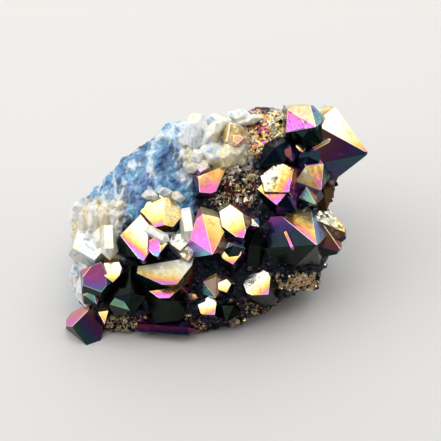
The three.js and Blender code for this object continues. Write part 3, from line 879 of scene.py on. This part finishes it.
def paintCrystal(faces, tip, axis, mark, layers, tones, milk, known, worn):
    # known keeps each face's film, so that a step of growth on it carries it on
    path, tone, grain, side, folds, haze = layers
    across = axis.orthogonal().normalized()
    sideways = axis.cross(across)
    edge = marks["edge"]
    for face in sorted(faces, key=lambda face: face[mark] == edge):
        kind = face[mark]
        paint = edgePaint(face, mark, known) if kind == edge else known.get(kind)
        paint = paint or facePaint(face, kind, axis, tones)
        if kind != edge:
            known[kind] = paint
        start, end, paintedShade, bend, run, low, length = paint
        for loop in face.loops:
            offset = loop.vert.co - tip
            loop[path] = (clamped((loop.vert.co.dot(run) - low) / length), start, end)
            loop[tone] = (paintedShade, bend, milk)
            loop[side] = 1.0 if 0 <= kind - marks["side"] < 6 else quartz["tipLines"]
            loop[folds], loop[haze] = worn
            loop[grain] = (offset.dot(across), offset.dot(sideways), offset.dot(axis))


def wearEdges(bm, mark, width):
    blunt = (marks["foot"], marks["edge"])
    sharp = [
        edge for edge in bm.edges
        if edge.calc_face_angle(0) > quartz["sharpFrom"]
        and all(face[mark] not in blunt for face in edge.link_faces)
    ]
    made = bmesh.ops.bevel(
        bm, geom=sharp, offset=width, offset_type="OFFSET", affect="EDGES", segments=1,
        profile=0.5, material=-1,
    )
    for face in made["faces"]:
        face[mark] = marks["edge"]


def dressBody(planes, middle, axis, size, width, *paint):
    # the body behind all the planes, with worn edges and its film, cut off at the floor
    bm = bodyBehind(planes, middle, size)
    mark = bm.faces.layers.int["mark"]
    wearEdges(bm, mark, width)
    paintCrystal(bm.faces, middle, axis, mark, paintLayers(bm), *paint)
    cutAtFloor(bm)
    return bm


def makeCrystal(row, *paint):
    planes, tip, axis = crystalPlanes(row)
    width = min(quartz["edgeWidth"], row[6] * quartz["edgeShare"])
    return dressBody(planes, tip, axis, quartz["bodySize"], width, *paint)


def makePlate(row, faceMark, *paint):
    # the crystal once more, with one face raised a little and its spread cut down
    planes, tip, axis = crystalPlanes(row)
    radius = row[6]
    rise, inset = pick(quartz, "plateHeight"), radius * quartz["plateInset"]
    raised = [
        (outward, reach + (rise if kind == faceMark else -inset), kind)
        for outward, reach, kind in planes
    ]
    normal = next(outward for outward, _, kind in planes if kind == faceMark)
    away = axis - normal * axis.dot(normal)
    turn = chance.uniform(-quartz["plateTurn"], quartz["plateTurn"])
    away = Matrix.Rotation(turn, 3, normal) @ away.normalized()
    depth = pick(quartz, "plateDepth") * radius
    along, up = quartz["plateSlope"]
    end = (away * along + normal * up).normalized()
    raised.append((end, end.dot(tip) - depth, marks["edge"]))
    return dressBody(raised, tip, axis, quartz["bodySize"], quartz["plateEdge"], *paint)


def joinInto(target, piece):
    mesh = meshFrom(piece, "part")
    target.from_mesh(mesh)
    bpy.data.meshes.remove(mesh)


def standingRow(around, rise, twist, radius):
    around, stand = radians(around), radius * quartz["backStand"]
    foot = basePoint(around, radians(rise))
    outward = outwardAt(foot, around)
    lean, heading = degrees(acos(outward.z)), degrees(atan2(outward.y, outward.x))
    return (*(foot + outward * stand), lean, heading, twist, radius, radius + 2 * stand)


# pale blocks of quartz: middle u, v, w; half length, width and thickness; heading of the long side;
# film; how milky
paleBlocks = {
    # upper middle
    "topSlab": (5.1, 26, 4.6, 2.8, 1.6, 2.3, -8, 0.1, 0.9),
    "secondSlab": (6.9, 25.1, 5.6, 2.9, 1.1, 1.8, 10, 0.16, 0.7),
    "longSlab": (-1.9, 22.2, 7, 4.2, 2.1, 3, 45, 0.18, 0.75),
    "goldBlock": (3.5, 20.5, 7.2, 3.7, 2.8, 3.2, 75, 0.29, 0.1),
    "peachKnob": (4.1, 19.8, 10, 1.9, 1.6, 1.5, 0, 0.46, 0.1),
    "lowBlock": (2.1, 16.3, 8.4, 3.8, 2.6, 3.1, 25, 0.2, 0.3),
    "greyBlock": (-2.4, 17, 7.8, 3.3, 2.6, 3.1, -30, 0, 0.95),
    "paleOne": (-5.6, 15.9, 8.2, 2, 1.7, 2.4, 60, 0.06, 0.6),
    "paleTwo": (-6.9, 13.1, 8.4, 1.8, 1.4, 2.4, 20, 0.15, 0.5),
    "blueLump": (-5.9, 22.2, 6, 4.2, 2.8, 3.1, 75, 0, 1),
    "blueLow": (-1.4, 24.6, 4.2, 3.1, 1.9, 2.6, 0, 0, 1),
    # above the broken crystal
    "ridgeOne": (-17.6, 6.3, 8.4, 1.9, 1.1, 1.6, 10, 0, 0.9),
    "ridgeTwo": (-13.9, 7.1, 8.8, 1.8, 1.2, 1.6, -10, 0.05, 0.8),
    "ridgeThree": (-10.6, 6, 9, 1.8, 1.2, 1.6, -30, 0.1, 0.7),
    # left
    "columnOne": (-34.4, -1.2, 3.2, 3.7, 1.3, 2, 92, 0.3, 0.6),
    "columnTwo": (-31.9, -0.4, 4.4, 4.2, 1.4, 2.2, 85, 0.18, 0.7),
    "columnThree": (-29.2, 0.2, 5.6, 3.5, 1.4, 2.2, 96, 0.3, 0.5),
    "columnFour": (-33.2, -6.2, 4.4, 3.3, 1.7, 2.2, 80, 0.1, 0.8),
    "columnFive": (-30.4, -5.6, 5.8, 3.5, 1.5, 2.2, 94, 0.1, 0.8),
    "columnSix": (-28, -4.6, 6.6, 3.3, 1.3, 2.2, 88, 0.2, 0.6),
    "leftCorner": (-35.4, 2.6, 2, 3.1, 2.1, 2.4, 60, 0, 1),
    "leftLobe": (-36.2, -14.5, 2, 3.5, 1.7, 2.4, 95, 0, 1),
}
blocks = {
    "sides": 14, "goldenAngle": 137.5, "askew": 0.3, "reach": (0.84, 1.06), "edgeShare": 0.1,
    "filmSpread": 0.07, "filmRun": 0.2, "flow": (-150, -30), "axis": (30, -90),
    "small": 22, "smallSize": (0.6, 1.4), "smallSunk": 0.9, "smallShape": (0.8, 1.4),
    "smallFilm": (0.05, 0.34), "smallMilk": (0.3, 0.8), "worn": (0.6, 0.45),
}


def makeBlock(centre, halves, heading, film, milk):
    turn = Matrix.Rotation(radians(heading), 3, "Z")
    planes, tones = [], {}
    # sides spread evenly all round, each a little askew
    count, spin = blocks["sides"], chance.uniform(0, 360)
    for i in range(count):
        askew = jitter() * blocks["askew"]
        lean = degrees(acos(1 - (2 * i + 1) / count))
        out = (direction(lean, spin + blocks["goldenAngle"] * i) + askew).normalized()
        squeezed = Vector([across / half for across, half in zip(out, halves)])
        normal = turn @ squeezed.normalized()
        reach = pick(blocks, "reach") / squeezed.length
        kind = marks["block"] + i
        planes.append((normal, normal.dot(centre) + reach, kind))
        start = clamped(film + chance.uniform(-1, 1) * blocks["filmSpread"])
        end = start + chance.uniform(0, blocks["filmRun"])
        tones[kind] = (start, end, 0.0, pick(blocks, "flow"))
    axis, width = direction(*blocks["axis"]), min(halves) * blocks["edgeShare"]
    paint = tones, milk, {}, blocks["worn"]
    return dressBody(planes, centre, axis, max(halves) * 3, width, *paint)


def smallBlocks():
    made = []
    while len(made) < blocks["small"]:
        around, rise = somewhere(0, 1)
        point = basePoint(around, rise)
        if giltness(point) > 0.5:
            size = pick(blocks, "smallSize")
            point -= outwardAt(point, around) * size * blocks["smallSunk"]
            halves = [size * pick(blocks, "smallShape") for _ in range(3)]
            film = pick(blocks, "smallFilm")
            milk = pick(blocks, "smallMilk")
            made.append(makeBlock(point, halves, chance.uniform(0, 180), film, milk))
    return made


def makeLargeCrystals():
    bm = bmesh.new()
    for name, row in frontCrystals.items():
        known, (milk, *worn) = {}, wear.get(name, (0, 0, 0))
        paint = faceTones.get(name, {}), milk, known, worn
        joinInto(bm, makeCrystal(row, *paint))
        for faceMark in quartz["platedFaces"]:
            isPale = faceMark in known and known[faceMark][2] < quartz["paleBelow"]
            isLarge = row[6] > quartz["platedFrom"]
            if isLarge and isPale and chance.random() < quartz["plates"]:
                joinInto(bm, makePlate(row, faceMark, *paint))
    for row in backCrystals:
        joinInto(bm, makeCrystal(standingRow(*row), {}, 0, {}, (0, 0)))
    for u, v, w, *halves, heading, film, milk in paleBlocks.values():
        joinInto(bm, makeBlock(Vector((u, v, w)), halves, heading, film, milk))
    for block in smallBlocks():
        joinInto(bm, block)
    return bm


finishPiece(makeLargeCrystals(), "largeCrystals", crystalMaterial)
finishPiece(baseMesh, "milkyBase", baseMaterial, smooth=True)

allPlanes = [crystalPlanes(row)[0] for row in frontCrystals.values()]


def isBuried(point):
    return any(all(n.dot(point) < reach for n, reach, _ in planes) for planes in allPlanes)


def crustTemplate():
    uneven = pick(crust, "setback"), pick(crust, "standOut")
    planes, tip, _ = crystalPlanes((0, 0, 0, 0, 0, 0, 1, 3, *uneven))
    return meshFrom(bodyBehind(planes, tip, crust["bodySize"]), "crustKind")


def addSmall(bm, template, layers, spot, outward, radius, glow, film, shade):
    first, firstFace = len(bm.verts), len(bm.faces)
    bm.from_mesh(template)
    bm.verts.ensure_lookup_table()
    bm.faces.ensure_lookup_table()
    turn = outward.to_track_quat("Z", "Y").to_matrix().to_4x4()
    spin = Matrix.Rotation(chance.uniform(0, tau), 4, "Z")
    tip = spot + outward * radius * pick(crust, "stand")
    place = Matrix.Translation(tip) @ turn @ spin @ Matrix.Scale(radius, 4)
    bmesh.ops.transform(bm, matrix=place, verts=bm.verts[first:])
    isPale = chance.random() < glow
    mark = bm.faces.layers.int["mark"]
    for face in bm.faces[firstFace:]:
        face.normal_update()
        # painted shade: pale crystals darken where they face down, dark ones are shaded all over
        level = crust["paintedShadeBelow"] - (toWorldTurn @ face.normal).z
        paintedShade = clamped(level / crust["paintedShadeOver"]) * crust["paleMostShade"] if isPale else 1
        start = chance.uniform(*(film if isPale else shade))
        tones = {face[mark]: (start, min(1, start + crust["filmRun"]), paintedShade, -90)}
        paintCrystal([face], tip, outward, mark, layers, tones, 0, {}, (0, crust["haze"]))


def spreadOut(middle, half):
    limit = crust["spreadLimit"]
    return middle + half * max(-limit, min(limit, chance.gauss(0, crust["spread"])))


def patchSpots():
    # where rays straight down onto a patch meet the base
    above, down = crust["rayFrom"], Vector((0, 0, -1))
    for middleU, middleV, halfU, halfV, count, small, large, *shine, _ in crust["patches"]:
        for _ in range(count):
            start = Vector((spreadOut(middleU, halfU), spreadOut(middleV, halfV), above))
            hit, normal, _, _ = baseTree.ray_cast(start, down)
            yield hit, normal, small + (large - small) * chance.random() ** 2, *shine


def straySpots():
    # where rays from all round meet the base, away from the foil
    small, large, *shine = crust["stray"]
    for _ in range(crust["strays"]):
        away = basePoint(*somewhere(-0.9, 0.6)) * crust["strayFrom"]
        hit, normal, _, _ = baseTree.ray_cast(away, -away.normalized())
        if hit is not None and foilAt(hit)[0] <= 0.5:
            yield hit, normal, small + (large - small) * chance.random() ** 2, *shine


def isFree(spot):
    high = spot.dot(floorNormal) - floorReach >= crust["floorGap"]
    return high and bareness(spot) <= 0.5 and not isBuried(spot)


def makeCrust():
    bm = bmesh.new()
    bm.faces.layers.int.new("mark")
    layers = paintLayers(bm)
    templates = [crustTemplate() for _ in range(crust["kinds"])]
    for hit, normal, radius, *shine in [*patchSpots(), *straySpots()]:
        if hit is not None and isFree(hit):
            outward = (normal + jitter() * crust["askew"]).normalized()
            addSmall(bm, chance.choice(templates), layers, hit, outward, radius, *shine)
    return bm


finishPiece(makeCrust(), "crustCrystals", crystalMaterial)

stageLook = {
    "floor": "D9D6D2", "floorRoughness": 0.7, "floorSize": 2.5, "room": (0.9, 0.95, 1.0, 1),
    "roomLight": 0.2, "cameraDistance": 0.59, "lens": 190,
    # place, width and height in metres, power
    "lamps": {
        "softboxAbove": ((-0.05, 0.16, 0.62), (1.2, 0.95), 5.3),
        "softboxLeft": ((-0.8, -0.1, 0.42), (0.9, 0.6), 3.2),
        "softboxRight": ((0.8, 0.05, 0.38), (0.6, 0.5), 1.6),
        "softboxBehind": ((0.12, 0.86, 0.42), (1.5, 0.62), 3.8),
    },
}


def makeStage():
    bm = bmesh.new()
    bmesh.ops.create_grid(bm, x_segments=1, y_segments=1, size=stageLook["floorSize"])
    floor = placeObject("floor", meshFrom(bm, "floor"))
    material, tree, shader = newMaterial("floorPaint")
    colour, roughness = tint(stageLook["floor"]), stageLook["floorRoughness"]
    feed(tree, shader, {"Base Color": colour, "Roughness": roughness})
    floor.data.materials.append(material)


def addLight(name, place, size, power, target):
    light = bpy.data.lights.new(name, "AREA")
    light.shape, (light.size, light.size_y), light.energy = "RECTANGLE", size, power
    lamp = placeObject(name, light)
    lamp.location = place
    lamp.rotation_euler = (target - Vector(place)).to_track_quat("-Z", "Y").to_euler()


def lightRoom():
    world = bpy.data.worlds.new("room")
    bpy.context.scene.world = world
    world.use_nodes = True
    background = world.node_tree.nodes["Background"]
    feed(world.node_tree, background, {0: stageLook["room"], 1: stageLook["roomLight"]})


def addCamera(target):
    camera = placeObject("camera", bpy.data.cameras.new("camera"))
    camera.data.lens = stageLook["lens"]
    camera.location = target + toWorldTurn @ Vector((0, 0, stageLook["cameraDistance"]))
    camera.rotation_euler = (radians(slope["angle"]), 0, 0)
    bpy.context.scene.camera = camera
    bpy.context.scene.view_settings.view_transform = "Standard"


makeStage()
lightRoom()
middle = Vector(slope["middle"]) * slope["mm"]
for name, lamp in stageLook["lamps"].items():
    addLight(name, *lamp, middle)
addCamera(middle)
print("stage set")
